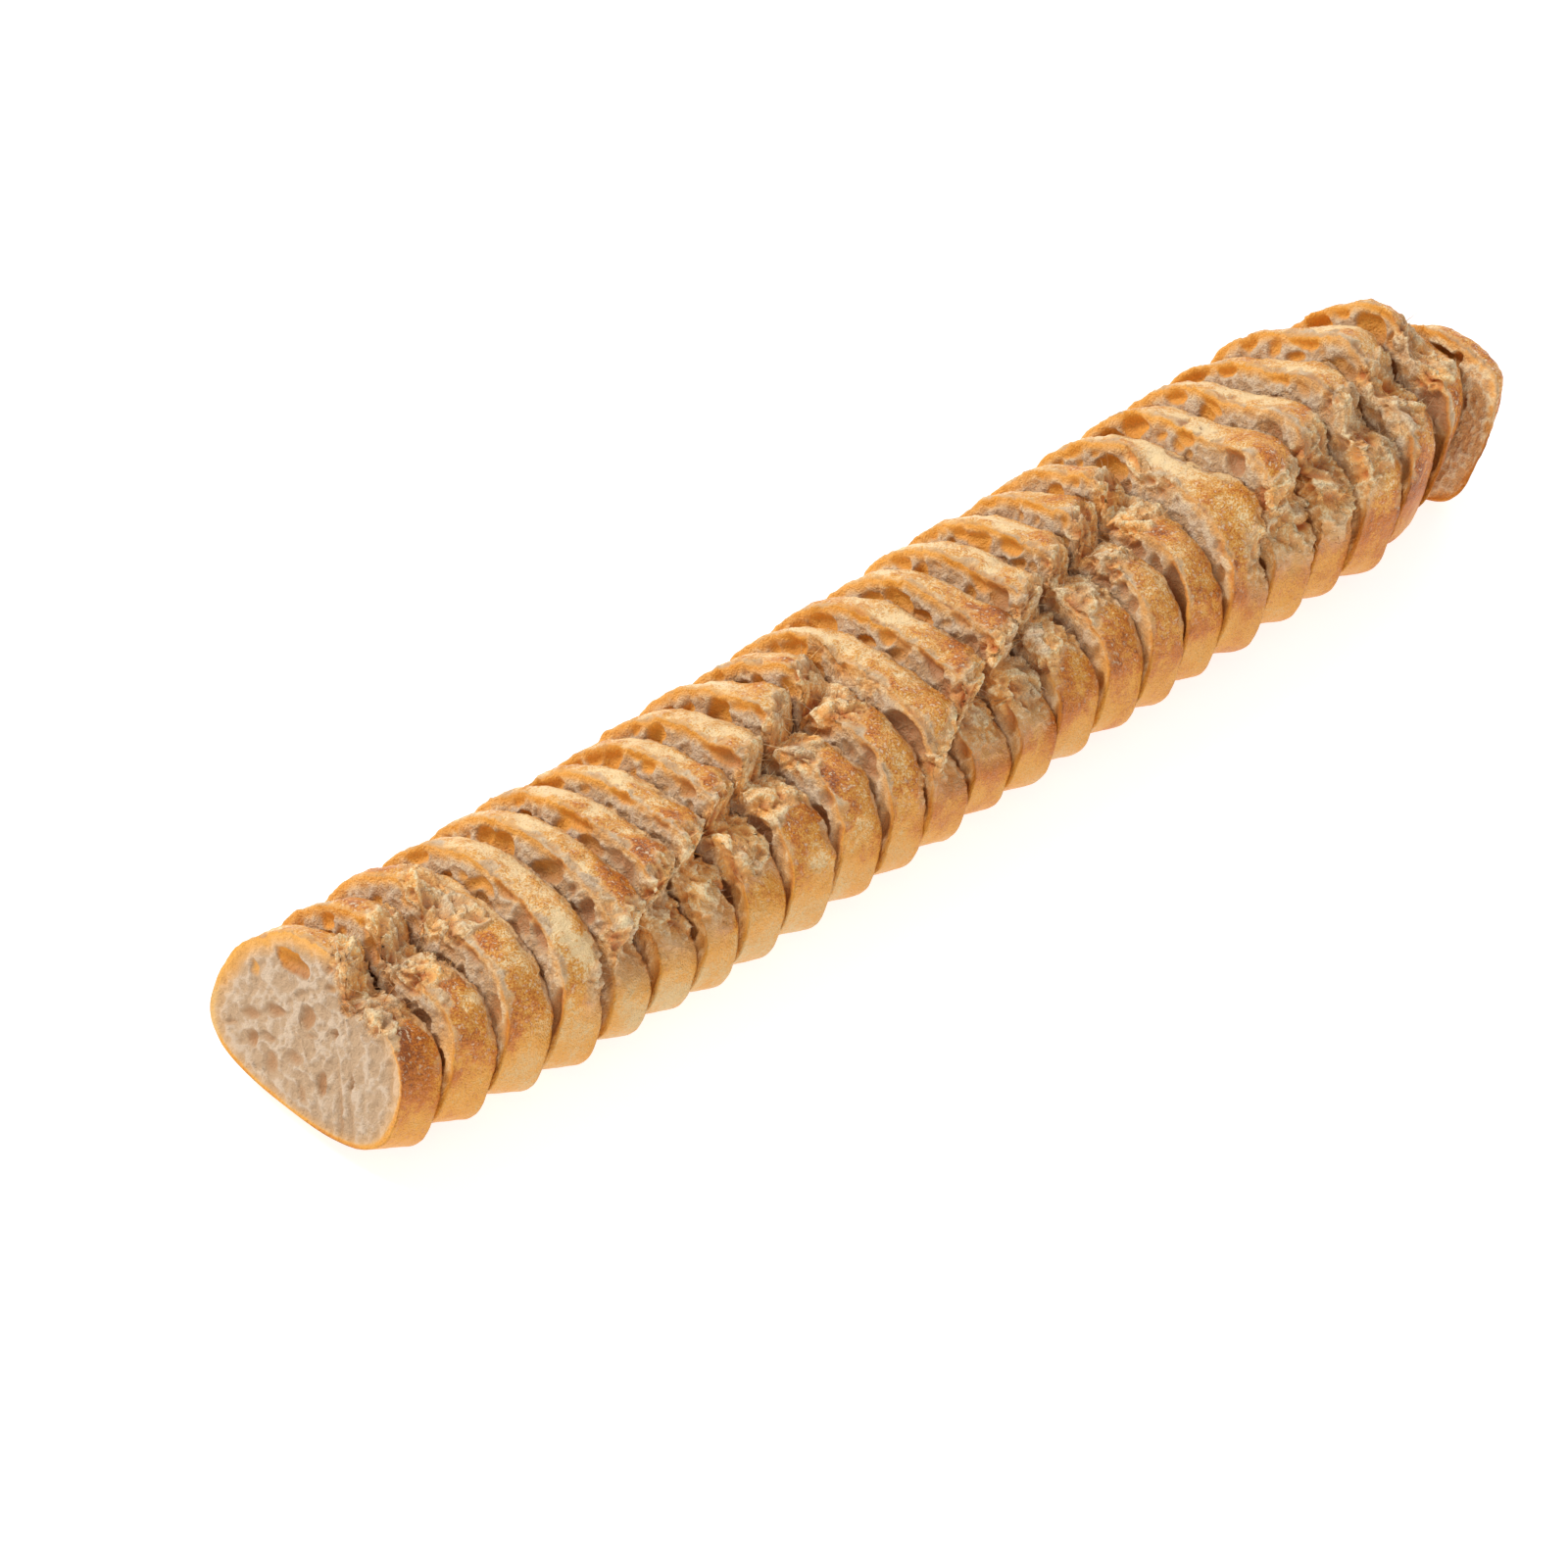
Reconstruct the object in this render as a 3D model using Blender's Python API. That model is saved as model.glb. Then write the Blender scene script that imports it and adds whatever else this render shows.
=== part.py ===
"""Sliced sourdough loaf.

A long loaf with four slanting slashes, cut square into slices of uneven thickness.
The cut row has slumped: every slice leans back against the next, rests on its back
bottom edge, and leaves a crescent of the next slice's cut face showing above its crown.
The last slice is the loaf's rounded heel.

Units are metres. +X runs along the row from the open cut face to the heel, +Y is the
side away from the slashes, +Z is up, and the origin is under the middle of the row.
"""
import math
import random

import bmesh
import bpy
import numpy as np
from mathutils import Euler

# The loaf's section, looking along +X
HALF_WIDTH = 0.0350
CROWN = 0.0280              # height of the crown above the widest line
BELLY = 0.0144              # height of the widest line above the base
CROWN_POWER = 2.4           # 2 is an ellipse, more is squarer
BASE_POWER = 2.7
SHOULDER_POWER = 4.2        # the right of the crown swells towards the heel
SHOULDER_START = 0.245
SHOULDER_END = 0.268
OPEN_END_SCALE = 0.94       # the loaf is a little slimmer at the open end
OPEN_END_LENGTH = 0.060

# The slices, from the open end to the heel
THICKNESS = [mm / 1000 for mm in (
    12.5, 13.0, 14.0, 13.5, 12.0, 12.0, 11.0, 12.5, 14.0, 14.0, 12.5, 13.5, 13.5,
    13.0, 13.5, 13.0, 12.0, 12.5, 14.0, 14.0, 12.0, 13.5, 14.5, 14.0, 15.0)]
SLICES = len(THICKNESS)
LOAF_LENGTH = sum(THICKNESS)
GAP = 0.00035               # between one slice's back and the next one's front

# How the row lies: values at even steps along the row, in degrees and metres
LEAN = (25.5, 22.5, 21.0, 23.5, 25.5)
YAW = (-1.5, 0.0, 4.0, 3.0, 1.0, 3.5)
SIDEWAYS = (0.0010, -0.0035, -0.0035, -0.0005, 0.0025, 0.0025)
ROLL = (1.2, 1.2, 1.2, 1.2, 1.2, 6.0)
LEAN_SCATTER = 0.8
YAW_SCATTER = 0.9
SIDE_SCATTER = 0.0006

# The slashes. Each valley runs from a start to an end along the loaf and crosses SLASH_SIDE
# at its crossing. To its left is a raised lip with a torn slope, to its right a torn shelf.
SLASH_SIDE = -0.0170
SLASHES = (
    {"start": -0.068, "crossing": -0.013, "end": 0.042, "slope": 0.45,
     "lip": 0.0000, "lip_width": 0.0045, "ramp": 0.0110, "valley": 0.0052, "shelf": 0.0024},
    {"start": 0.040, "crossing": 0.094, "end": 0.148, "slope": 0.45,
     "lip": 0.0016, "lip_width": 0.0045, "ramp": 0.0055, "valley": 0.0052, "shelf": 0.0024},
    {"start": 0.132, "crossing": 0.186, "end": 0.240, "slope": 0.45,
     "lip": 0.0016, "lip_width": 0.0045, "ramp": 0.0055, "valley": 0.0052, "shelf": 0.0024},
    {"start": 0.232, "crossing": 0.282, "end": 0.316, "slope": 0.38,
     "lip": 0.0062, "lip_width": 0.0095, "ramp": 0.0065, "valley": 0.0034, "shelf": 0.0006})
SLASH_FADE = 0.018
SHELF_WIDTH = 0.022
TORN_ROUGHNESS = 0.0010

# The heel
TAPER_LENGTH = 0.052        # the loaf narrows over this length to its end
WIDTH_TAPER = 0.57
HEIGHT_TAPER = 0.02
DOME_LENGTH = 0.012         # the heel's rounded back
HEEL_SLIP = 0.0080          # to the right, off the slice before it

# Mesh fineness
CROWN_POINTS = 46
BASE_POINTS = 20
DOME_RINGS = 4

CRUST_COLOUR = (0.62, 0.36, 0.14, 1.0)


def clear_scene():
    for old in list(bpy.data.objects):
        bpy.data.objects.remove(old, do_unlink=True)


def smooth(value, low, high):
    """0 below low, 1 above high, and a soft step between."""
    t = np.clip((value - low) / (high - low), 0.0, 1.0)
    return t * t * (3.0 - 2.0 * t)


def along(values, index):
    """The value at a slice, from values given at even steps along the row."""
    steps = np.linspace(0.0, SLICES - 1.0, len(values))
    return float(np.interp(index, steps, values))


def end_taper(station):
    """0 along most of the loaf, rising to 1 at the heel's end."""
    return smooth(station, LOAF_LENGTH - TAPER_LENGTH, LOAF_LENGTH)


def slash_depth(slash, across):
    """Height of the torn surface, by the distance to the right of the valley."""
    lip_middle = -slash["ramp"] - 0.7 * slash["lip_width"]
    lip = slash["lip"] * np.exp(-((across - lip_middle) / slash["lip_width"]) ** 2)
    ramp = smooth(across, -slash["ramp"], 0.001)
    floor = slash["valley"] * np.exp(-np.maximum(across - 0.0005, 0.0) / 0.0055)
    shelf = slash["shelf"] * (1.0 - smooth(across, 0.5 * SHELF_WIDTH, SHELF_WIDTH))
    return lip - ramp * (floor + shelf)


def torn(station, side):
    """Raggedness of torn crumb, between -1 and 1."""
    coarse = np.sin(900.0 * side + 410.0 * station) * np.sin(520.0 * station - 330.0 * side)
    fine = np.sin(2100.0 * side - 1300.0 * station + 1.7)
    return 0.65 * coarse + 0.35 * fine


def slash_offset(station, side):
    """How far the slashes move the crust in or out, at points across the crown."""
    total = np.zeros_like(side)
    for slash in SLASHES:
        valley_side = SLASH_SIDE + slash["slope"] * (station - slash["crossing"])
        across = (valley_side - side) / math.hypot(1.0, slash["slope"])
        begun = smooth(station, slash["start"], slash["start"] + SLASH_FADE)
        inside = begun * (1.0 - smooth(station, slash["end"] - SLASH_FADE, slash["end"]))
        torn_side = 1.0 - smooth(across, 0.4 * SHELF_WIDTH, 0.6 * SHELF_WIDTH)
        opened = smooth(across, -slash["ramp"], 0.0) * torn_side
        rough = TORN_ROUGHNESS * torn(station, side) * opened
        total += inside * (slash_depth(slash, across) + rough)
    return total


def outline(station, scale=1.0):
    """Points (y, z) around the loaf's section at a station, base at z = 0.

    A scale under 1 gives a ring of the heel's dome, where the slash also runs out.
    """
    over = np.linspace(0.0, math.pi, CROWN_POINTS, endpoint=False)
    under = np.linspace(math.pi, 2.0 * math.pi, BASE_POINTS, endpoint=False)
    angle = np.concatenate((over, under))
    opening = 1.0 - (1.0 - OPEN_END_SCALE) * (1.0 - smooth(station, 0.0, OPEN_END_LENGTH))
    half_width = HALF_WIDTH * opening * (1.0 - WIDTH_TAPER * end_taper(station) ** 1.5)
    tallness = opening * (1.0 - HEIGHT_TAPER * end_taper(station))
    belly = BELLY * (0.5 + 0.5 * tallness)
    out = np.stack((-np.cos(angle), np.sin(angle)), axis=1)
    is_crown = out[:, 1] >= 0.0
    swelling = smooth(station, SHOULDER_START, SHOULDER_END) * smooth(-out[:, 0], 0.1, 0.5)
    crown_power = CROWN_POWER + (SHOULDER_POWER - CROWN_POWER) * swelling
    power = np.where(is_crown, crown_power, BASE_POWER)
    height = np.where(is_crown, CROWN * tallness, belly)
    radius = (np.abs(out[:, 0] / half_width) ** power + np.abs(out[:, 1] / height) ** power) ** (-1.0 / power)
    opened = slash_offset(station, radius * out[:, 0]) * smooth(out[:, 1], 0.1, 0.5)
    points = out * (radius * scale + opened * scale ** 3)[:, None]
    points[:, 1] += belly
    return points


def slice_rings(index, station):
    """The slice's outlines from front to back, as arrays of (x, y, z)."""
    thickness = THICKNESS[index]
    steps = [(share * thickness, 1.0) for share in (0.0, 0.5, 1.0)]
    if index == SLICES - 1:
        steps = [(share * (thickness - DOME_LENGTH), 1.0) for share in (0.0, 1.0)]
        for ring in range(1, DOME_RINGS + 1):
            turn = 0.5 * math.pi * ring / (DOME_RINGS + 0.6)
            steps.append((thickness - DOME_LENGTH * (1.0 - math.sin(turn)), math.cos(turn)))
    rings = []
    for depth, scale in steps:
        section = outline(station + depth, scale)
        rings.append(np.column_stack((np.full(len(section), depth), section)))
    return rings


def loft(name, rings):
    """A closed mesh through the rings, with flat ends."""
    shape = bmesh.new()
    loops = [[shape.verts.new(point) for point in ring] for ring in rings]
    count = len(loops[0])
    for front, back in zip(loops, loops[1:]):
        for i in range(count):
            j = (i + 1) % count
            shape.faces.new((front[i], front[j], back[j], back[i]))
    shape.faces.new(loops[0][::-1])
    shape.faces.new(loops[-1])
    bmesh.ops.recalc_face_normals(shape, faces=shape.faces)
    mesh = bpy.data.meshes.new(name)
    shape.to_mesh(mesh)
    shape.free()
    return mesh


def crust_material(name):
    material = bpy.data.materials.new(name)
    material.use_nodes = True
    shader = material.node_tree.nodes["Principled BSDF"]
    shader.inputs["Base Color"].default_value = CRUST_COLOUR
    shader.inputs["Roughness"].default_value = 0.75
    shader.inputs["Metallic"].default_value = 0.0
    return material


def build_row():
    """Stand the slices one after another, each just clear of the one before."""
    collection = bpy.data.collections.new("sliced_sourdough_loaf")
    bpy.context.scene.collection.children.link(collection)
    scatter = random.Random(11)
    slices = []
    corners = []
    station = 0.0
    back_point = None
    back_normal = None
    for index in range(SLICES):
        lean = along(LEAN, index) + scatter.uniform(-LEAN_SCATTER, LEAN_SCATTER)
        yaw = along(YAW, index) + scatter.uniform(-YAW_SCATTER, YAW_SCATTER)
        side = along(SIDEWAYS, index) + scatter.uniform(-SIDE_SCATTER, SIDE_SCATTER)
        if index == SLICES - 1:
            side -= HEEL_SLIP
        roll = along(ROLL, index)
        rotation = Euler((math.radians(roll), math.radians(lean), math.radians(yaw)))
        turn = np.array(rotation.to_matrix())
        rings = slice_rings(index, station)
        turned = np.concatenate(rings) @ turn.T
        place = np.array((0.0, side, -turned[:, 2].min()))
        if back_point is not None:
            clearance = ((rings[0] @ turn.T + place - back_point) @ back_normal).min()
            place[0] = (GAP - clearance) / back_normal[0]
        back_normal = turn @ np.array((1.0, 0.0, 0.0))
        back_point = rings[-1][0] @ turn.T + place
        corners.append(turned + place)

        name = f"slice_{index + 1:02d}"
        slice_object = bpy.data.objects.new(name, loft(name, rings))
        slice_object.data.materials.append(crust_material(f"crust_{index + 1:02d}"))
        slice_object.location = place
        slice_object.rotation_euler = rotation
        collection.objects.link(slice_object)
        slices.append(slice_object)
        station += THICKNESS[index]

    corners = np.concatenate(corners)
    row = bpy.data.objects.new("row", None)
    row.location = (*(-0.5 * (corners.min(axis=0) + corners.max(axis=0)))[:2], 0.0)
    collection.objects.link(row)
    for slice_object in slices:
        slice_object.parent = row


clear_scene()
build_row()
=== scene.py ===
"""Looks for the sliced sourdough loaf.

Each CAD slice is replaced by a fine mesh of the same form: the crust with its wrinkles and
toasting, the torn crumb along the slashes, and the cut faces with their holes. The forms come
from the same named sizes as the CAD, and each slice's place is read from its CAD node.
"""
import math

import bpy
import numpy as np
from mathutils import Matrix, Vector


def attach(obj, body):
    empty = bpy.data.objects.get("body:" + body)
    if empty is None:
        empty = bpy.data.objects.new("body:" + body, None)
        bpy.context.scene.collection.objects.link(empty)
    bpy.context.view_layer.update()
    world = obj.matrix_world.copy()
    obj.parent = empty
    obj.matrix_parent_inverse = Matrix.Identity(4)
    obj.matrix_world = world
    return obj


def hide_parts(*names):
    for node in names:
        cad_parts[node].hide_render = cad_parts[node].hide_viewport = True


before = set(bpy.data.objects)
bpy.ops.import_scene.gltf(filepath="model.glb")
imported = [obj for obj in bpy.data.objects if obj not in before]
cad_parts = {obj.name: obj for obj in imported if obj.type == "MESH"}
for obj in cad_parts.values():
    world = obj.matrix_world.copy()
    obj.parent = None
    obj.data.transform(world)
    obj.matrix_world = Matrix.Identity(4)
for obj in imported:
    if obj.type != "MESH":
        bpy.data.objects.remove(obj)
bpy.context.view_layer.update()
NODES = sorted(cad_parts)
SLICES = len(NODES)
MM = 0.001

# The loaf's section, as in the CAD
HALF_WIDTH = 0.0350
CROWN = 0.0280
BELLY = 0.0144
CROWN_POWER = 2.4
BASE_POWER = 2.7
SHOULDER_POWER = 4.2
SHOULDER_START = 0.245
SHOULDER_END = 0.268
OPEN_END_SCALE = 0.94
OPEN_END_LENGTH = 0.060
TAPER_LENGTH = 0.052
WIDTH_TAPER = 0.57
HEIGHT_TAPER = 0.02
DOME_LENGTH = 0.012

# The slashes, as in the CAD
SLASH_SIDE = -0.0170
SLASHES = (
    {"start": -0.068, "crossing": -0.013, "end": 0.042, "slope": 0.45,
     "lip": 0.0000, "lip_width": 0.0045, "ramp": 0.0110, "valley": 0.0052, "shelf": 0.0024},
    {"start": 0.040, "crossing": 0.094, "end": 0.148, "slope": 0.45,
     "lip": 0.0016, "lip_width": 0.0045, "ramp": 0.0055, "valley": 0.0052, "shelf": 0.0024},
    {"start": 0.132, "crossing": 0.186, "end": 0.240, "slope": 0.45,
     "lip": 0.0016, "lip_width": 0.0045, "ramp": 0.0055, "valley": 0.0052, "shelf": 0.0024},
    {"start": 0.232, "crossing": 0.282, "end": 0.316, "slope": 0.38,
     "lip": 0.0062, "lip_width": 0.0095, "ramp": 0.0065, "valley": 0.0034, "shelf": 0.0006})
SLASH_FADE = 0.018
SHELF_WIDTH = 0.022

# How far the slices roll, in degrees at even steps along the row, as in the CAD
ROLL = (1.2, 1.2, 1.2, 1.2, 1.2, 6.0)

# Mesh fineness
OUTLINE_POINTS = 330
CRUST_RINGS = 24
FACE_STEP = 0.018           # of the section's radius, over the part of a cut face that shows
FACE_BAND = 0.60            # that part's inner edge, as a share of the radius
END_FACE_BAND = 0.40        # the same for the last two slices
INNER_RINGS = 4
BACK_RINGS = 4
MIDDLE_SHARE = 0.05         # the radius of the ring at a cut face's middle, as a share
OPEN_OUTLINE_POINTS = 460   # the first slice, whose whole face shows
OPEN_FACE_RINGS = 66
OPEN_MIDDLE_SHARE = 0.02
ANGLE_SAMPLES = 2400        # round the section, to space its points evenly

# The crust's wrinkles, coarse to fine: their size, their height on the walls and how much more
# it is on the crown, in millimetres, and the same two for how much they darken the crust
WRINKLES = (
    (9.0, 0.30, 0.25, 0.10, 0.00),
    (4.0, 0.14, 0.26, 0.04, 0.16),
    (1.9, 0.08, 0.20, 0.04, 0.18),
    (1.0, 0.04, 0.12, 0.05, 0.12))

# Torn crumb: clumps, then two layers of ridges. Each has a size and a height in millimetres,
# and a share of the hollows' depth that it fills.
CLUMPS = (6.0, 2.0, 0.38)
RIDGES = (2.8, 1.3, 0.36)
FINE_RIDGES = (1.4, 0.8, 0.26)
TORN_DROP = 1.9             # how far the three layers are sunk, in millimetres
TORN_STRETCH = (1.0, 0.62, 0.8)

# Fibres that stand out of torn crumb, with lengths in millimetres
WISP_SHARE = 0.05           # fibres to each point of torn crumb
WISP_STATIONS = (0.0, 0.35, 0.70, 1.0)
WISP_SIDES = 3
WISP_POINTS = WISP_SIDES * len(WISP_STATIONS)
WISP_LENGTH = (1.2, 3.6)
WISP_RADIUS = (0.08, 0.17)
WISP_TAPER = 0.8
WISP_ROOT = 0.3             # how deep a fibre starts in the crumb
WISP_SPREAD = 0.75
WISP_BEND = 0.45
WISP_SEED = 40

# Patterns of holes in the cut faces: spacing in millimetres, share of the places that have a
# hole, and how much longer than wide a hole can be
CELLS = (3.4, 0.75, 0.9)
SMALL_CELLS = (1.7, 0.75, 0.6)
LARGE_HOLES = (7.5, 0.32, 1.0)
MEDIUM_HOLES = (4.2, 0.42, 1.1)
HOLE_DEPTH = 0.70           # of the last two patterns, as a share of a hole's half width
BACK_FACES = 50             # added to a slice's number for its back, whose holes are its own

# Narrow slits in the first cut face
SLIT_TURN = 62.0            # degrees from level
SLIT_WIDTH = 1.5            # in millimetres, like the depth
SLIT_STRETCH = 0.16         # a slit's width as a share of its length
SLIT_DEPTH = 1.2

# How golden the cut faces are, from 0 to 1, and how strong the painted amber light is in the gaps,
# standing for light that comes through them
FACE_GOLD = 0.22
RIM_GOLD = 0.30             # more beside the crust
HEEL_GOLD = 0.25            # more on the heel's face
PAINTED_GAP_GLOW = 0.15
PAINTED_GAP_GLOW_SCATTER = 0.5

# The larger holes of some slices: middle across and up, half length, half width, turn in
# degrees and depth, with the sizes in millimetres
OWN_HOLES = {
    0: ((13.1, 31.1, 6.2, 2.6, 0, 3.2), (-0.7, 31.7, 1.6, 1.2, 0, 1.2), (-6.0, 29.4, 1.7, 1.5, 0, 1.8),
        (3.1, 21.5, 3.6, 2.5, 50, 1.6), (13.1, 18.0, 3.8, 1.8, -28, 1.4), (19.8, 13.9, 3.8, 1.6, -28, 1.3),
        (17.1, 8.4, 2.6, 2.3, 0, 1.5), (12.7, 11.6, 2.9, 1.3, -28, 1.1), (0.3, 18.0, 2.4, 0.9, -28, 1.0),
        (-6.3, 22.6, 1.5, 1.4, 0, 1.4), (2.9, 11.3, 3.3, 1.7, -28, 1.2), (9.3, 6.5, 3.4, 2.3, 30, 1.3),
        (-7.7, 10.5, 3.2, 2.0, 62, 1.7), (-16.6, 15.4, 2.6, 0.8, 62, 1.3), (23.5, 24.0, 2.4, 1.2, 40, 1.0),
        (7.5, 26.0, 2.2, 1.3, -20, 0.9), (-3.0, 5.5, 2.6, 1.2, 50, 1.1), (24.5, 9.0, 2.0, 1.2, -30, 1.0)),
    3: ((-17.5, 35.9, 3.0, 2.0, 70, 2.4), (-30.9, 21.0, 6.8, 1.5, 80, 2.4)),
    4: ((-17.8, 33.8, 3.2, 2.6, 60, 2.4),),
    5: ((13.8, 30.6, 2.9, 1.8, -20, 2.0),),
    10: ((18.1, 29.7, 4.3, 2.2, -30, 2.4), (-1.3, 34.3, 1.5, 1.3, 0, 1.6),
         (-22.0, 33.5, 2.9, 2.1, 30, 2.2), (-31.9, 20.5, 3.8, 2.1, 80, 2.4)),
    12: ((6.9, 34.3, 3.4, 1.7, -10, 2.0),),
    13: ((4.8, 34.8, 4.3, 1.7, -10, 2.4),),
    17: ((-27.9, 24.7, 11.5, 4.8, 70, 4.5),),
    21: ((29.2, 30.0, 6.0, 3.0, -50, 3.0), (20.1, 36.6, 3.4, 3.0, -30, 2.6)),
    23: ((-20.6, 32.5, 3.9, 1.8, 75, 2.2), (-23.8, 35.2, 2.7, 1.0, 75, 1.8)),
    24: ((2.5, 33.4, 5.4, 3.6, -35, 4.0), (-2.0, 35.5, 4.5, 2.0, -55, 3.0),
         (-9.5, 29.0, 1.8, 1.2, 80, 1.4), (0.3, 40.6, 5.4, 0.9, -12, 2.5),
         (-8.5, 22.0, 2.4, 1.3, 70, 1.2), (-12.0, 30.5, 1.6, 1.0, 60, 1.0))}

# Colours, as display values from 0 to 255. Crumb's come in pairs: pale, and golden.
WALL_CRUST = (226, 190, 132)
# The crown's paler crust: partly its own tone and partly painted sheen of its gloss
CROWN_CRUST_AND_SHEEN = (254, 220, 164)
GOLDEN_CRUST = (232, 162, 66)
BROWN_CRUST = (206, 118, 40)
DARK_CRUST = (150, 78, 26)
# Flour: real specks on all the crust, and more of them on the crown as painted sheen
FLOUR_AND_SHEEN = (255, 228, 186)
STRAND_COLOURS = ((214, 187, 158), (255, 230, 178))
# Cells and holes: the crumb darker with depth, as painted shade
CELL_COLOURS = ((196, 162, 126), (254, 187, 100))
HOLE_SHADE_COLOURS = ((188, 140, 96), (206, 114, 48))
# Painted light: the amber of light shining through thin crust and crumb, mixed into the colour
PAINTED_AMBER_LIGHT = (250, 174, 62)
PAINTED_AMBER_LIGHT_SHARE = 0.82          # at its strongest

# The surface's texture, with sizes in millimetres
MOTTLE_SIZE = 1.2
GRAIN_SIZE = 0.5
BUMP_DEPTH = 0.8
CRUST_ROUGHNESS = 0.42
CRUMB_ROUGHNESS = 0.15      # more than the crust's
SPECULAR = 0.35

# The stage: each light's name, place, size and power, then the floor and the world
LIGHTS = (
    ("key", (-0.6, 1.2, 1.5), 0.7, 26.5),
    ("fill", (0.1, -2.0, 0.9), 1.2, 3.5),
    ("front", (-1.6, -1.0, 0.7), 1.0, 5.0),
    ("back", (1.7, 0.6, 0.7), 0.8, 9.0))
LIGHTS_AIM = (0.0, 0.0, 0.02)
FLOOR_REACH = 6.0
FLOOR_DROP = 0.0003
FLOOR_GREY = (0.55, 0.55, 0.55, 1.0)
FLOOR_GLOW = 0.76
WHITE = (1.0, 1.0, 1.0, 1.0)
WORLD_STRENGTH = 0.43

# The camera: a long lens, from the open end's right and above
CAMERA_LENS = 282.66
CAMERA_SENSOR = 36.0
CAMERA_PLACE = (-1.6149, -1.6705, 1.8827)
CAMERA_AIM = (-0.0386, -0.0043, 0.0200)

# The noise: multipliers and bit masks that turn whole numbers into random ones, a shift of its
# grid, and how many ways the grid is turned
MIX_X = 374761393
MIX_Y = 668265263
MIX_Z = 951274213
MIX_SEED = 1274126177
WORD = 0xFFFFFFFF
FRACTION = 0xFFFFFF
GRID_SHIFT = 100.0
TURN_COUNT = 7


# ---------------------------------------------------------------- numbers and noise

def smooth(value, low, high):
    """0 below low, 1 above high, and a soft step between."""
    t = np.clip((value - low) / (high - low), 0.0, 1.0)
    return t * t * (3.0 - 2.0 * t)


def scatter(ix, iy, iz, seed):
    """A repeatable random number between 0 and 1 for each whole-number place."""
    mixed = (ix * MIX_X + iy * MIX_Y + iz * MIX_Z + seed * MIX_SEED) & WORD
    mixed = ((mixed ^ (mixed >> 13)) * MIX_SEED) & WORD
    return ((mixed ^ (mixed >> 16)) & FRACTION) / float(FRACTION)


def lumps(points, size, seed):
    """Smooth noise between -1 and 1, in lumps of the given size, at (x, y, z) points.

    Each use of the noise has a seed of its own.
    """
    turned = points @ TURNS[seed % len(TURNS)]
    cell = turned / size + GRID_SHIFT
    low = np.floor(cell).astype(np.int64)
    part = cell - low
    part = part * part * (3.0 - 2.0 * part)
    total = np.zeros(len(points))
    for corner in range(8):
        step = np.array((corner & 1, (corner >> 1) & 1, corner >> 2))
        share = np.prod(np.where(step == 1, part, 1.0 - part), axis=1)
        place = low + step
        total += share * scatter(place[:, 0], place[:, 1], place[:, 2], seed)
    return 2.0 * total - 1.0


def turn_matrix(a, b):
    """A rotation that keeps the noise's grid from lining up with the loaf."""
    first = np.array(((math.cos(a), -math.sin(a), 0), (math.sin(a), math.cos(a), 0), (0, 0, 1)))
    second = np.array(((1, 0, 0), (0, math.cos(b), -math.sin(b)), (0, math.sin(b), math.cos(b))))
    return first @ second


TURNS = [turn_matrix(0.7 + 1.3 * k, 0.4 + 0.9 * k) for k in range(TURN_COUNT)]


def ridges(points, size, seed):
    """Thin ridges of noise: 1 along a ridge and 0 away from it."""
    return 1.0 - np.minimum(2.4 * np.abs(lumps(points, size, seed)), 1.0)


def clumps(points, size, seed):
    """Rounded clumps like torn crumb: 1 at the middle of a clump and 0 between them."""
    turned = points @ TURNS[seed % len(TURNS)]
    cell = turned / size + GRID_SHIFT
    low = np.floor(cell).astype(np.int64)
    highest = np.zeros(len(points))
    for near in range(27):
        step = np.array((near % 3 - 1, near // 3 % 3 - 1, near // 9 - 1))
        place = low + step
        ix, iy, iz = place.T
        off_x = cell[:, 0] - ix - 0.15 - 0.7 * scatter(ix, iy, iz, seed)
        off_y = cell[:, 1] - iy - 0.15 - 0.7 * scatter(ix, iy, iz, seed + 1)
        off_z = cell[:, 2] - iz - 0.15 - 0.7 * scatter(ix, iy, iz, seed + 2)
        reach = 0.55 + 0.35 * scatter(ix, iy, iz, seed + 3)
        inside = 1.0 - (off_x ** 2 + off_y ** 2 + off_z ** 2) / reach ** 2
        highest = np.maximum(highest, inside)
    return np.sqrt(highest)


def oval(y, z, middle_y, middle_z, half_long, half_short, turn):
    """1 at the middle of an oval and 0 from its edge outwards, round-floored."""
    off_y = y - middle_y
    off_z = z - middle_z
    along_oval = (off_y * np.cos(turn) + off_z * np.sin(turn)) / half_long
    across_oval = (off_z * np.cos(turn) - off_y * np.sin(turn)) / half_short
    return np.sqrt(np.clip(1.0 - along_oval ** 2 - across_oval ** 2, 0.0, 1.0))


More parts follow.
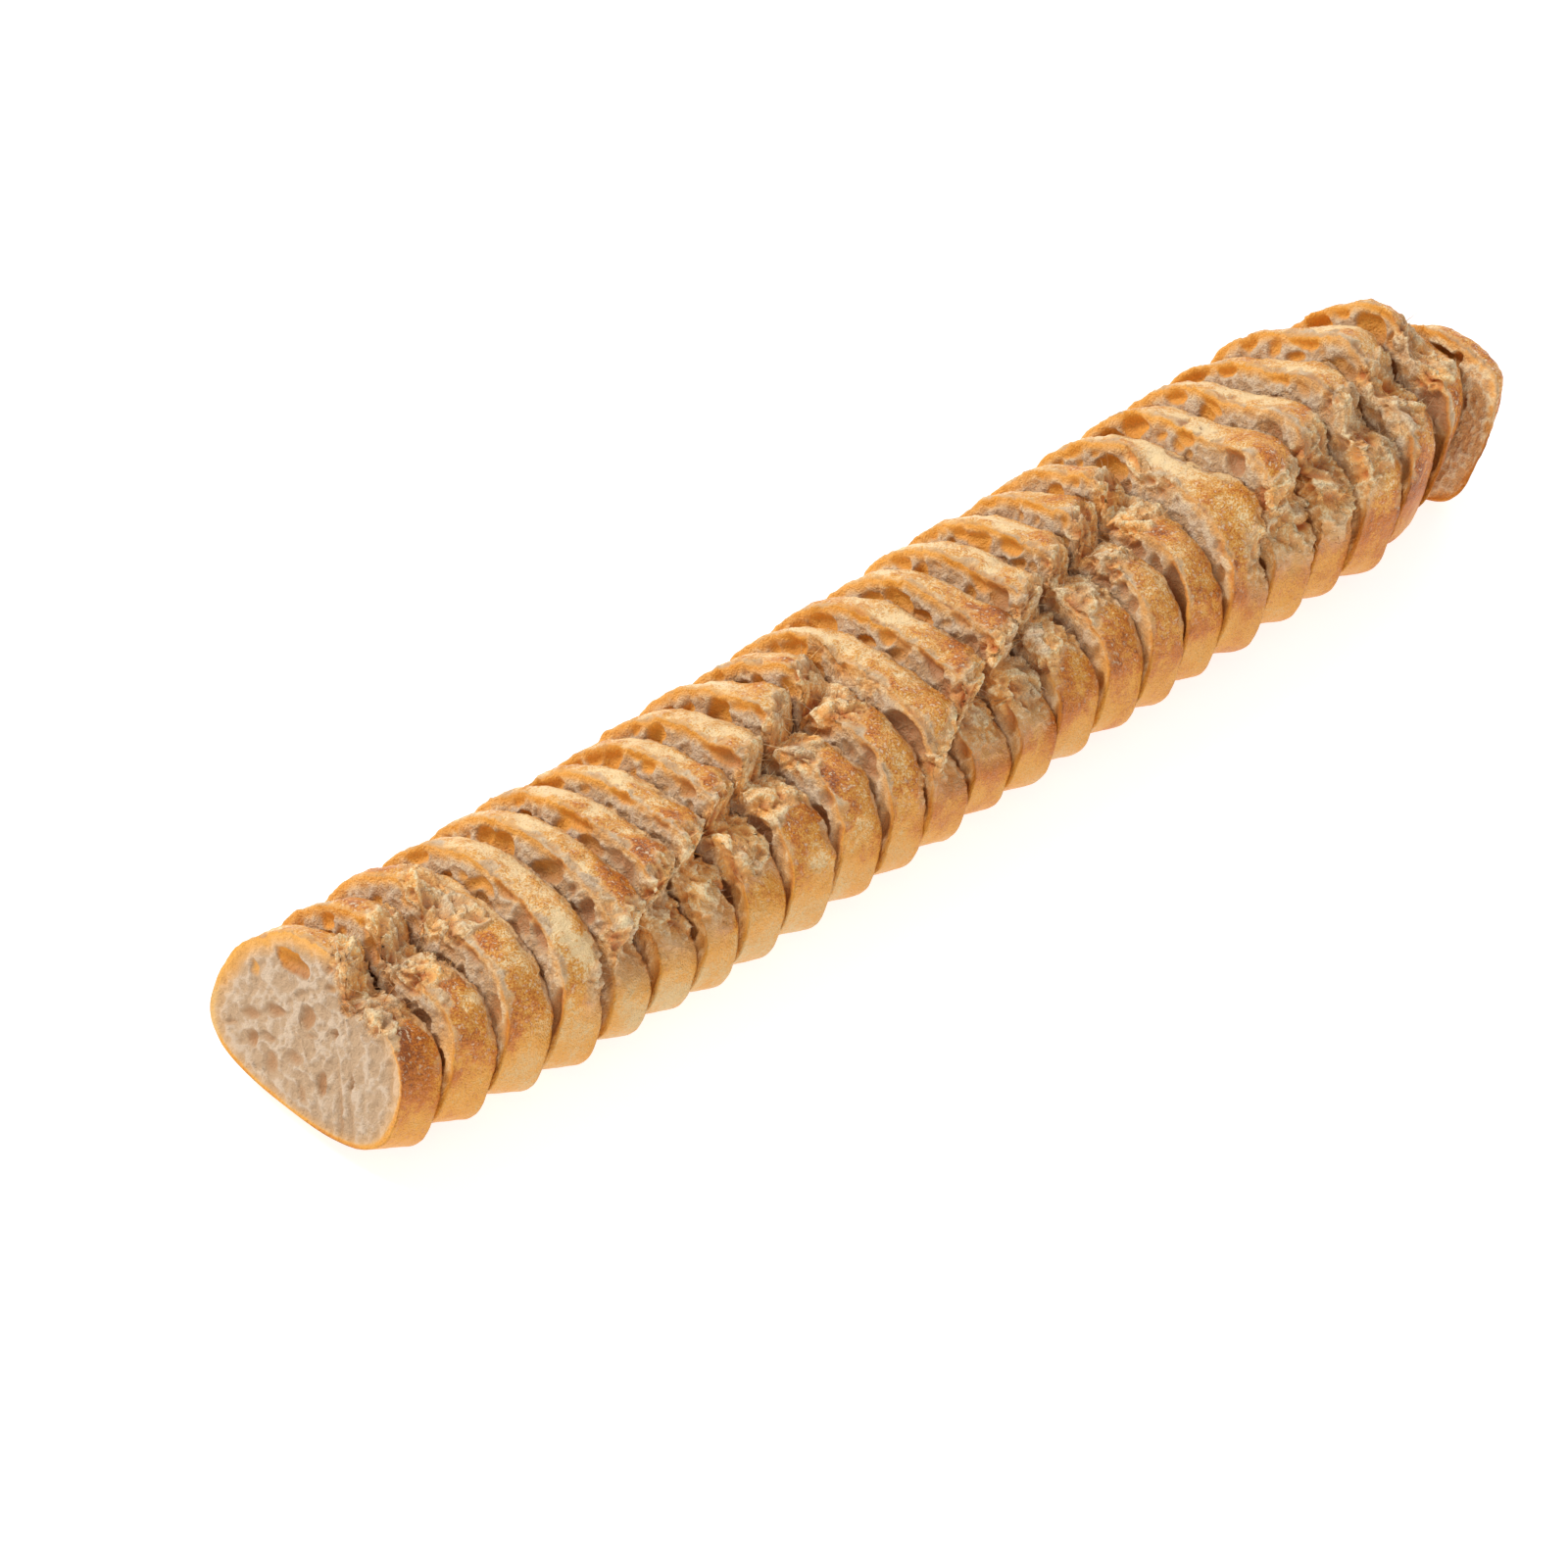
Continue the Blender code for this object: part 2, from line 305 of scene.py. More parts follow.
def holes(y, z, pattern, seed):
    """How deep a pattern's holes are at points of a cut face, with one or none to each place.

    They are drawn out along the crust, as the dough was when it was rolled.
    """
    pitch, share, stretch = pattern
    pitch = pitch * MM
    deepest = np.zeros_like(y)
    cell_y = np.floor(y / pitch).astype(np.int64)
    cell_z = np.floor(z / pitch).astype(np.int64)
    for near in range(9):
        iy = cell_y + near % 3 - 1
        iz = cell_z + near // 3 - 1
        there = scatter(iy, iz, 0, seed) < share
        middle_y = (iy + 0.2 + 0.6 * scatter(iy, iz, 1, seed)) * pitch
        middle_z = (iz + 0.2 + 0.6 * scatter(iy, iz, 2, seed)) * pitch
        radius = pitch * (0.24 + 0.32 * scatter(iy, iz, 3, seed))
        longer = 1.0 + stretch * scatter(iy, iz, 4, seed)
        along_crust = np.arctan2(middle_z - BELLY, middle_y) + 0.5 * math.pi
        turn = along_crust + 1.4 * (scatter(iy, iz, 5, seed) - 0.5)
        depth = radius * oval(y, z, middle_y, middle_z, radius * longer, radius, turn)
        deepest = np.maximum(deepest, there * depth)
    return deepest


# ---------------------------------------------------------------- the loaf's form

def end_taper(station):
    """0 along most of the loaf, rising to 1 at the heel's end."""
    return smooth(station, LOAF_LENGTH - TAPER_LENGTH, LOAF_LENGTH)


def slash_depth(slash, across):
    """Height of the torn surface, by the distance to the right of the valley."""
    lip_middle = -slash["ramp"] - 0.7 * slash["lip_width"]
    lip = slash["lip"] * np.exp(-((across - lip_middle) / slash["lip_width"]) ** 2)
    ramp = smooth(across, -slash["ramp"], 0.001)
    floor = slash["valley"] * np.exp(-np.maximum(across - 0.0005, 0.0) / 0.0055)
    shelf = slash["shelf"] * (1.0 - smooth(across, 0.5 * SHELF_WIDTH, SHELF_WIDTH))
    return lip - ramp * (floor + shelf)


def slashes(station, side):
    """The slashes at points of the crown: (offset of the crust, how torn, how near an edge)."""
    offset = np.zeros_like(side)
    torn = np.zeros_like(side)
    edge = np.zeros_like(side)
    flat = np.column_stack((station, side, np.zeros_like(side)))
    ragged = 2.4 * MM * lumps(flat, 6 * MM, 21) + 1.2 * MM * lumps(flat, 2.2 * MM, 22)
    for slash in SLASHES:
        ramp = slash["ramp"]
        valley_side = SLASH_SIDE + slash["slope"] * (station - slash["crossing"])
        across = (valley_side - side) / math.hypot(1.0, slash["slope"])
        begun = smooth(station, slash["start"], slash["start"] + SLASH_FADE)
        inside = begun * (1.0 - smooth(station, slash["end"] - SLASH_FADE, slash["end"]))
        loose = across + ragged
        opened = smooth(loose, -ramp - 0.0035, -ramp - 0.0010) * (1.0 - smooth(loose, 0.0110, 0.0130))
        near_lip = np.exp(-((loose + ramp + 0.006) / 0.005) ** 2)
        near_shelf = np.exp(-((loose - 0.0150) / 0.0045) ** 2)
        offset += inside * slash_depth(slash, across)
        torn = np.maximum(torn, smooth(inside, 0.15, 0.45) * opened)
        edge = np.maximum(edge, inside * np.maximum(near_lip, near_shelf))
    return offset, torn, edge


def section(station, angle, scale):
    """Crust points (y, z) at stations along the loaf and angles round it, with the masks."""
    opening = 1.0 - (1.0 - OPEN_END_SCALE) * (1.0 - smooth(station, 0.0, OPEN_END_LENGTH))
    half_width = HALF_WIDTH * opening * (1.0 - WIDTH_TAPER * end_taper(station) ** 1.5)
    tallness = opening * (1.0 - HEIGHT_TAPER * end_taper(station))
    belly = BELLY * (0.5 + 0.5 * tallness)
    out_y = -np.cos(angle)
    out_z = np.sin(angle)
    over = out_z >= 0.0
    swelling = smooth(station, SHOULDER_START, SHOULDER_END) * smooth(-out_y, 0.1, 0.5)
    crown_power = CROWN_POWER + (SHOULDER_POWER - CROWN_POWER) * swelling
    power = np.where(over, crown_power, BASE_POWER)
    height = np.where(over, CROWN * tallness, belly)
    radius = (np.abs(out_y / half_width) ** power + np.abs(out_z / height) ** power) ** (-1.0 / power)
    offset, torn, edge = slashes(station, radius * out_y)
    on_crown = smooth(out_z, 0.1, 0.5)
    radius = radius * scale + offset * on_crown * scale ** 3
    return radius * out_y, radius * out_z + belly, torn * on_crown, edge * on_crown


def even_angles(station, count):
    """Angles round the section, evenly spaced on the crown and sparser below it."""
    fine = np.linspace(0.0, 2.0 * math.pi, ANGLE_SAMPLES)
    y, z, _, _ = section(np.full_like(fine, station), fine, 1.0)
    middle = 0.5 * (fine[1:] + fine[:-1])
    weight = 0.35 + 0.40 * smooth(np.sin(middle), -0.6, -0.3) + 0.40 * smooth(np.sin(middle), 0.0, 0.4)
    travelled = np.concatenate(([0.0], np.cumsum(np.hypot(np.diff(y), np.diff(z)) * weight)))
    return np.interp(np.linspace(0.0, travelled[-1], count, endpoint=False), travelled, fine)


# ---------------------------------------------------------------- a slice's place, from the CAD

def slice_place(index):
    """The slice's rotation, its origin and its thickness, read from its CAD node."""
    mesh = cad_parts[NODES[index]].data
    roll = math.radians(np.interp(index, np.linspace(0.0, SLICES - 1.0, len(ROLL)), ROLL))
    corners = np.empty(len(mesh.vertices) * 3, np.float32)
    mesh.vertices.foreach_get("co", corners)
    corners = corners.reshape(-1, 3).astype(float)
    facing = np.zeros(3)
    for polygon in mesh.polygons:
        if polygon.normal.x < -0.8:
            facing -= np.array(polygon.normal) * polygon.area
    facing /= np.linalg.norm(facing)
    level = np.array((-facing[1], facing[0], 0.0)) / math.hypot(facing[0], facing[1])
    upright = np.cross(facing, level)
    side = math.cos(roll) * level + math.sin(roll) * upright
    turn = np.column_stack((facing, side, np.cross(facing, side)))
    turned = corners @ turn
    low = turned.min(axis=0)
    high = turned.max(axis=0)
    origin = turn @ np.array((low[0], 0.5 * (low[1] + high[1]), low[2]))
    return turn, origin, high[0] - low[0]


PLACES = [slice_place(index) for index in range(SLICES)]
STARTS = np.concatenate(([0.0], np.cumsum([place[2] for place in PLACES])))
LOAF_LENGTH = STARTS[-1]


# ---------------------------------------------------------------- relief and masks

def torn_relief(points):
    """Shaggy torn crumb: how far it stands out, in metres, and how deep in its hollows it is."""
    warp = np.column_stack([lumps(points, 3 * MM, seed) for seed in (31, 32, 33)])
    loose = points + 1.2 * MM * warp
    drawn = loose * TORN_STRETCH
    height = np.zeros(len(points))
    hollow = np.ones(len(points))
    for (size, tall, fill), form, place, seed in (
            (CLUMPS, clumps, loose, 41), (RIDGES, ridges, drawn, 51), (FINE_RIDGES, ridges, drawn, 61)):
        layer = form(place, size * MM, seed)
        height += tall * layer
        hollow -= fill * layer
    return (height - TORN_DROP) * MM, hollow


def torn_gold(points):
    """How golden torn crumb is, from 0, cream, to 1, toasted."""
    return 0.62 + 0.30 * lumps(points, 7 * MM, 26) + 0.22 * lumps(points, 2.0 * MM, 27)


def crust_toast(points, edge):
    """How brown the crust is, from 0, pale, to 1, dark."""
    station, y, z = points.T
    crown = smooth(z, 20 * MM, 36 * MM)
    shoulder = smooth(z, 11 * MM, 24 * MM)
    right = smooth(-y, 0.0, 15 * MM)
    right_end = (1.0 - smooth(station, 0.014, 0.046)) * right
    right_wall = smooth(station, 0.09, 0.16) * right * (1.0 - crown)
    far_end = smooth(station, 0.25, 0.31)
    base = 1.0 - smooth(z, 1 * MM, 5 * MM)
    patches = (0.5 + 0.5 * crown) * (0.26 * lumps(points, 14 * MM, 23) + 0.30 * lumps(points, 5 * MM, 24))
    toast_and_shade = 0.10 - 0.02 * crown + 0.32 * right_end + 0.30 * right_wall + 0.24 * right * shoulder
    return toast_and_shade + 0.12 * far_end + 0.30 * base + patches + 0.24 * edge


def crust_chips(points, top, fine, to_cut):
    """How bare the crust is beside the cuts, where it has chipped off.

    It chips most on the left towards the heel, and least on the heel itself.
    """
    station, y, _ = points.T
    before_heel = 1.0 - smooth(station, LOAF_LENGTH - 20 * MM, LOAF_LENGTH - 15 * MM)
    far_left = 1.3 * smooth(station, 0.20, 0.27) * smooth(y, -20 * MM, 0.0)
    crumbling = 0.3 + before_heel * (0.7 + far_left)
    uneven = np.maximum(lumps(points, 4.5 * MM, 5) + 0.5 * fine, -0.4)
    width = crumbling * MM * (0.8 + 2.6 * uneven)
    return top * (1.0 - smooth(to_cut, width - 0.3 * MM, width + 0.6 * MM))


def crust_surface(station, angle, scale, to_front, to_back):
    """Points (y, z) of the crust with its relief, and the masks.

    to_front and to_back are each point's distances from the cuts, where the crust is chipped.
    """
    to_cut = np.minimum(to_front, to_back)
    y, z, torn, edge = section(station, angle, scale)
    points = np.column_stack((station, y, z))
    crown = smooth(z, 14 * MM, 28 * MM)
    top = smooth(z, 24 * MM, 34 * MM)
    wrinkles = [lumps(points, row[0] * MM, seed) for seed, row in enumerate(WRINKLES, 1)]
    relief = np.zeros_like(y)
    toast_and_shade = crust_toast(points, edge)
    for wrinkle, (_, height, more_height, dark, more_dark) in zip(wrinkles, WRINKLES):
        relief += (height + more_height * crown) * wrinkle
        toast_and_shade += (dark + more_dark * crown) * wrinkle
    fine, finest = wrinkles[-2:]
    chipped = crust_chips(points, top, fine, to_cut)
    shaggy_share = np.maximum(torn, 0.55 * chipped)
    relief -= 0.45 * chipped * (1.0 + finest) + 0.5 * top * (1.0 - smooth(to_front, 0.0, 3.5 * MM))
    relief -= 1.0 * top * (1.0 - smooth(to_back, 0.0, 5.0 * MM))
    relief *= MM
    # Painted shade: the crown crust darker towards the front cut of each slice
    toast_and_shade += 0.14 * crown * (1.0 - smooth(to_front, 1.0 * MM, 6.0 * MM))
    rough = shaggy_share > 0.01
    shaggy, hollow = torn_relief(points[rough])
    relief[rough] += np.maximum(torn, 0.30 * chipped)[rough] * shaggy
    bare = np.maximum(torn, chipped)[rough]
    pale = 0.30 * (chipped > torn)[rough]
    toast_and_shade[rough] += bare * (torn_gold(points[rough]) - pale - toast_and_shade[rough])
    # Painted shade: torn crumb darker the deeper it lies in its hollows
    pit_shade = np.zeros_like(y)
    pit_shade[rough] = bare * np.clip(1.3 * hollow - 0.22, 0.0, 1.0)
    relief *= smooth(z, 0.0, 3 * MM)
    out = np.column_stack((y, z - BELLY))
    out /= np.linalg.norm(out, axis=1)[:, None]
    crumb = np.maximum(torn, 0.9 * chipped)
    # Painted light: amber on the left of the crust beside the cuts, where light shines through its thin
    # edge
    painted_rim_glow = 0.5 * smooth(y, 0.0, 15 * MM) * (1.0 - smooth(to_cut, 0.3 * MM, 2.2 * MM))
    masks = {"crumb": crumb, "toast_and_shade": toast_and_shade, "pit_shade": pit_shade, "painted_glow": painted_rim_glow, "torn": torn}
    return y + out[:, 0] * relief, z + out[:, 1] * relief, masks


def own_holes(y, z, index):
    """The larger holes that a slice is known for."""
    depth = np.zeros_like(y)
    for middle_y, middle_z, half_long, half_short, degrees, deep in OWN_HOLES.get(index, ()):
        turn = math.radians(degrees)
        shape = oval(y, z, middle_y * MM, middle_z * MM, half_long * MM, half_short * MM, turn)
        depth = np.maximum(depth, deep * MM * shape)
    return depth


def drawn_slits(y, z):
    """Narrow upright slits at the right of the first slice, where the dough was drawn out."""
    upright = math.radians(SLIT_TURN)
    along_slit = y * math.cos(upright) + z * math.sin(upright)
    across_slit = z * math.cos(upright) - y * math.sin(upright)
    drawn = np.column_stack((across_slit, along_slit * SLIT_STRETCH, np.zeros_like(y)))
    slits = np.maximum(lumps(drawn, SLIT_WIDTH * MM, 25), 0.0)
    return SLIT_DEPTH * MM * slits * smooth(-y, 3 * MM, 12 * MM)


def face_depth(y, z, reach, index):
    """How far a cut face is sunk, in metres, with its larger holes and its cells.

    reach is 1 at the crust and 0 at the middle.
    """
    flat = np.column_stack((np.full_like(y, 0.01 * index), y, z))
    warp_y = y + 0.8 * MM * lumps(flat, 4 * MM, 11) + 0.3 * MM * lumps(flat, 1.4 * MM, 12)
    warp_z = z + 0.8 * MM * lumps(flat, 4 * MM, 13) + 0.3 * MM * lumps(flat, 1.4 * MM, 10)
    inner = smooth(1.0 - reach, 0.02, 0.11)
    large = own_holes(warp_y, warp_z, index)
    medium = holes(warp_y, warp_z, CELLS, 300 + index)
    small = holes(warp_y, warp_z, SMALL_CELLS, 400 + index)
    cells = np.clip(np.maximum(medium / (1.2 * MM), 0.7 * small / (0.6 * MM)), 0.0, 1.0)
    if index == 0:
        large = np.maximum(large, drawn_slits(warp_y, warp_z))
    elif index != SLICES - 1:
        large = np.maximum(large, HOLE_DEPTH * holes(warp_y, warp_z, LARGE_HOLES, 100 + index))
        large = np.maximum(large, HOLE_DEPTH * holes(warp_y, warp_z, MEDIUM_HOLES, 200 + index))
    inside_hole = smooth(large, 0.0, 0.8 * MM)
    web = 0.16 * MM * np.abs(lumps(flat, 1.8 * MM, 14)) + 0.08 * MM * lumps(flat, 0.9 * MM, 15)
    wavy = 0.30 * MM * lumps(flat, 9 * MM, 16)
    dimples = (1.0 - 0.8 * inside_hole) * (0.28 * medium + 0.40 * small)
    sunk = inner * (large + dimples) + web + wavy
    return sunk, large, cells


def painted_face_glow(y, z, reach, large, index):
    """How much painted amber light a cut face has, standing for light shining through the crumb: beside
    the crust, in holes on the left and in gaps on the right.
    """
    left = smooth(y, -12 * MM, 8 * MM)
    near_rim = smooth(reach, 0.80 if index == 0 else 0.88, 0.985)
    in_hole = smooth(large, 0.3 * MM, 1.2 * MM) * smooth(reach, 0.62, 0.82)
    lit_side = left * smooth(z, 8 * MM, 20 * MM)
    in_gap = smooth(-y, 15 * MM, 25 * MM) * (1.0 - smooth(z, 24 * MM, 32 * MM))
    painted_glow = np.maximum(lit_side * np.maximum(near_rim, in_hole), 0.35 * near_rim)
    if index > 0:
        strength = PAINTED_GAP_GLOW
        if index != SLICES - 1:
            strength += PAINTED_GAP_GLOW_SCATTER * scatter(index, 3, 5, 77)
        painted_glow = np.maximum(painted_glow, strength * in_gap * smooth(reach, 0.74, 0.90))
    return painted_glow


def face_surface(rim_y, rim_z, reach, index, station, rim_masks):
    """Points of a cut face inside its rim: (how far sunk, y, z) and the masks."""
    y = rim_y * reach
    z = (rim_z - BELLY) * reach + BELLY
    sunk, large, cells = face_depth(y, z, reach, index)
    in_own_hole = smooth(own_holes(y, z, index), 0.0, 0.5 * MM)
    torn = rim_masks["torn"] * smooth(reach, 0.72, 0.90) * (1.0 - in_own_hole)
    hollow = np.zeros_like(y)
    gold = FACE_GOLD + RIM_GOLD * smooth(reach, 0.86, 0.98)
    if index == 0:
        gold = np.zeros_like(y)
    elif index == SLICES - 1:
        gold += HEEL_GOLD
    rough = torn > 0.01
    points = np.column_stack((np.full(rough.sum(), station), y[rough], z[rough]))
    shaggy, hollow[rough] = torn_relief(points)
    gold[rough] += torn[rough] * (torn_gold(points) - gold[rough])
    sunk[rough] += torn[rough] * (np.maximum(0.6 * MM - 0.8 * shaggy, -0.9 * MM) - sunk[rough])
    # Painted shade: the face darker the deeper its holes, cells and torn hollows
    pit_shade = np.clip(np.maximum(large / (1.5 * MM), 0.45 * cells), 0.0, 1.0)
    pit_shade += torn * (np.clip(1.3 * hollow - 0.18, 0.0, 1.0) - pit_shade)
    # Painted light shining through the crumb, weaker on torn crumb
    painted_glow = painted_face_glow(y, z, reach, large, index) * (1.0 - 0.8 * torn)
    low = 1.0 - smooth(z, 10 * MM, 22 * MM)
    inside = smooth(1.0 - reach, 0.012 + 0.020 * low, 0.040 + 0.035 * low)
    masks = {
        "crumb": rim_masks["crumb"] * (1.0 - inside) + inside,
        "toast_and_shade": rim_masks["toast_and_shade"] * (1.0 - inside) + gold * inside,
        "pit_shade": pit_shade,
        "painted_glow": painted_glow,
        "torn": torn}
    return sunk, y, z, masks


# ---------------------------------------------------------------- wisps of torn crumb

def wisps(corners, count, torn, chance):
    """Thin curved fibres that stand out of torn crumb: their points, and where each is rooted."""
    rings = corners.reshape(-1, count, 3)
    around = np.roll(rings, -1, axis=1) - np.roll(rings, 1, axis=1)
    out = np.cross(np.gradient(rings, axis=0), around).reshape(-1, 3)
    out /= np.linalg.norm(out, axis=1)[:, None] + 1e-12
    likely = torn * (out[:, 2] > -0.1)
    amount = int(WISP_SHARE * np.count_nonzero(likely > 0.5))
    if amount == 0:
        return np.empty((0, 3)), np.empty(0, int)
    roots = chance.choice(len(corners), amount, p=likely / likely.sum())
    length = chance.uniform(*WISP_LENGTH, (amount, 1)) * MM
    radius = chance.uniform(*WISP_RADIUS, (amount, 1)) * MM
    aim = out[roots] + chance.normal(0.0, WISP_SPREAD, (amount, 3))
    aim /= np.linalg.norm(aim, axis=1)[:, None]
    bend = chance.normal(0.0, WISP_BEND, (amount, 3))
    across = np.cross(aim, bend)
    across /= np.linalg.norm(across, axis=1)[:, None]
    beside = np.cross(aim, across)
    points = []
    for share in WISP_STATIONS:
        middle = corners[roots] + (share * aim + share ** 2 * bend) * length - WISP_ROOT * MM * aim
        thin = radius * (1.0 - WISP_TAPER * share)
        for side in range(WISP_SIDES):
            turn = 2.0 * math.pi * side / WISP_SIDES
            points.append(middle + thin * (math.cos(turn) * across + math.sin(turn) * beside))
    return np.stack(points, axis=1).reshape(-1, 3), np.repeat(roots, len(points))


def wisp_faces(amount, first):
    """Quads along the fibres and triangles at their ends, from a first point number."""
    start = first + WISP_POINTS * np.arange(amount)[:, None]
    quads = []
    for step in range(len(WISP_STATIONS) - 1):
        for side in range(WISP_SIDES):
            near = WISP_SIDES * step + side
            far = WISP_SIDES * step + (side + 1) % WISP_SIDES
            quads.append(start + (near, far, far + WISP_SIDES, near + WISP_SIDES))
    last = WISP_POINTS - WISP_SIDES
    ends = [start + (2, 1, 0), start + (last, last + 1, last + 2)]
    return np.concatenate(quads), np.concatenate(ends)


# ---------------------------------------------------------------- a slice's mesh

def ring_plan(index, thickness):
    """Shares of the radius for the front's and back's rings, and depths and scales between."""
    if index == 0:
        front = np.linspace(1.0, OPEN_MIDDLE_SHARE, OPEN_FACE_RINGS)
    else:
        band_end = END_FACE_BAND if index >= SLICES - 2 else FACE_BAND
        band = np.arange(1.0, band_end, -FACE_STEP)
        front = np.concatenate((band, np.linspace(band_end, MIDDLE_SHARE, INNER_RINGS)))
    depths = np.linspace(0.0, thickness, CRUST_RINGS)
    scales = np.ones(CRUST_RINGS)
    back = np.linspace(1.0, MIDDLE_SHARE, BACK_RINGS)[1:]
    if index == SLICES - 1:
        straight = np.linspace(0.0, thickness - DOME_LENGTH, CRUST_RINGS // 3)
        dome = np.linspace(0.0, 0.5 * math.pi, CRUST_RINGS)[1:-1]
        depths = np.concatenate((straight, thickness - DOME_LENGTH * (1.0 - np.sin(dome))))
        scales = np.concatenate((np.ones(len(straight)), np.cos(dome)))
        back = back[:0]
    return front[:0:-1], depths, scales, back


def face_rings(shares, station, depth, thickness, angle, index):
    """Rings of one cut face, from its first share of the radius to its last."""
    to_front = np.full_like(angle, depth)
    to_back = np.full_like(angle, thickness - depth)
    rim_y, rim_z, rim_masks = crust_surface(np.full_like(angle, station), angle, 1.0, to_front, to_back)
    rings = len(shares)
    reach = np.repeat(shares, len(angle))
    tiled = {name: np.tile(values, rings) for name, values in rim_masks.items()}
    rims = (np.tile(rim_y, rings), np.tile(rim_z, rings))
    sunk, y, z, masks = face_surface(*rims, reach, index, station, tiled)
    inward = sunk if depth == 0.0 else -sunk
    return np.column_stack((depth + inward, y, z)), masks


def slice_surface(index):
    """Rings from the middle of the cut face, over the crust, to the middle of the back."""
    start = STARTS[index]
    thickness = PLACES[index][2]
    count = OPEN_OUTLINE_POINTS if index == 0 else OUTLINE_POINTS
    angle = even_angles(start + 0.5 * thickness, count)
    front, depths, scales, back = ring_plan(index, thickness)
    depth = np.repeat(depths, count)
    around = np.tile(angle, len(depths))
    to_back = thickness - depth if len(back) else np.full_like(depth, thickness)
    y, z, crust_masks = crust_surface(start + depth, around, np.repeat(scales, count), depth, to_back)
    parts = [face_rings(front, start, 0.0, thickness, angle, index),
             (np.column_stack((depth, y, z)), crust_masks)]
    if len(back):
        parts.append(face_rings(back, start + thickness, thickness, thickness, angle, index + BACK_FACES))
    corners = np.concatenate([part[0] for part in parts])
    masks = {name: np.concatenate([part[1][name] for part in parts]) for name in crust_masks}
    return corners, masks, count


def ring_faces(rings, count):
    """Quads between rings of points, and a fan of triangles to one more point at each end."""
    around = np.arange(count)
    following = (around + 1) % count
    near = np.arange(rings - 1)[:, None] * count
    far = near + count
    quads = np.stack((near + around, near + following, far + following, far + around), axis=2)
    last = (rings - 1) * count
    front = np.column_stack((following, around, np.full(count, rings * count)))
    back = np.column_stack((last + around, last + following, np.full(count, rings * count + 1)))
    return quads.reshape(-1, 4), np.concatenate((front, back))


def bread_mesh(name, corners, quads, triangles):
    """A smooth-shaded mesh from arrays of points and of faces."""
    loops = np.concatenate((quads.ravel(), triangles.ravel()))
    starts = np.concatenate((np.arange(len(quads)) * 4, len(quads) * 4 + np.arange(len(triangles)) * 3))
    mesh = bpy.data.meshes.new(name)
    mesh.vertices.add(len(corners))
    mesh.vertices.foreach_set("co", corners.astype(np.float32).ravel())
    mesh.loops.add(len(loops))
    mesh.loops.foreach_set("vertex_index", loops.astype(np.int32))
    mesh.polygons.add(len(starts))
    mesh.polygons.foreach_set("loop_start", starts.astype(np.int32))
    mesh.update(calc_edges=True)
    mesh.validate()
    mesh.shade_smooth()
    return mesh


def add_values(mesh, name, kind, key, values):
    """A value at each point of a mesh, for the material to read."""
    layer = mesh.attributes.new(name, kind, "POINT")
    layer.data.foreach_set(key, values.astype(np.float32).ravel())


def build_slice(index, material):
    """One slice of bread in place of its CAD solid."""
    turn, origin, thickness = PLACES[index]
    corners, masks, count = slice_surface(index)
    chance = np.random.default_rng(WISP_SEED + index)
    fibres, roots = wisps(corners, count, masks["torn"], chance)
    quads, triangles = ring_faces(len(corners) // count, count)
    amount = len(roots) // WISP_POINTS
    wisp_quads, wisp_ends = wisp_faces(amount, len(corners) + 2)
    masks = {name: np.concatenate((values, values[:1], values[-1:], values[roots]))
             for name, values in masks.items()}
    if amount:
        masks["toast_and_shade"][-len(roots):] = np.repeat(chance.uniform(0.0, 0.9, amount), len(roots) // amount)
    corners = np.vstack((corners, corners[:count].mean(axis=0), corners[-count:].mean(axis=0), fibres))
    name = f"bread_{index + 1:02d}"
    mesh = bread_mesh(name, corners @ turn.T + origin, np.vstack((quads, wisp_quads)),
                      np.vstack((triangles, wisp_ends)))
    for mask, values in masks.items():
        add_values(mesh, mask, "FLOAT", "value", values)
    add_values(mesh, "loaf_place", "FLOAT_VECTOR", "vector", corners + (STARTS[index], 0.0, 0.0))
    mesh.materials.append(material)
    piece = bpy.data.objects.new(name, mesh)
    bpy.context.scene.collection.objects.link(piece)
    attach(piece, "root")
    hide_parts(NODES[index])


# ---------------------------------------------------------------- materials

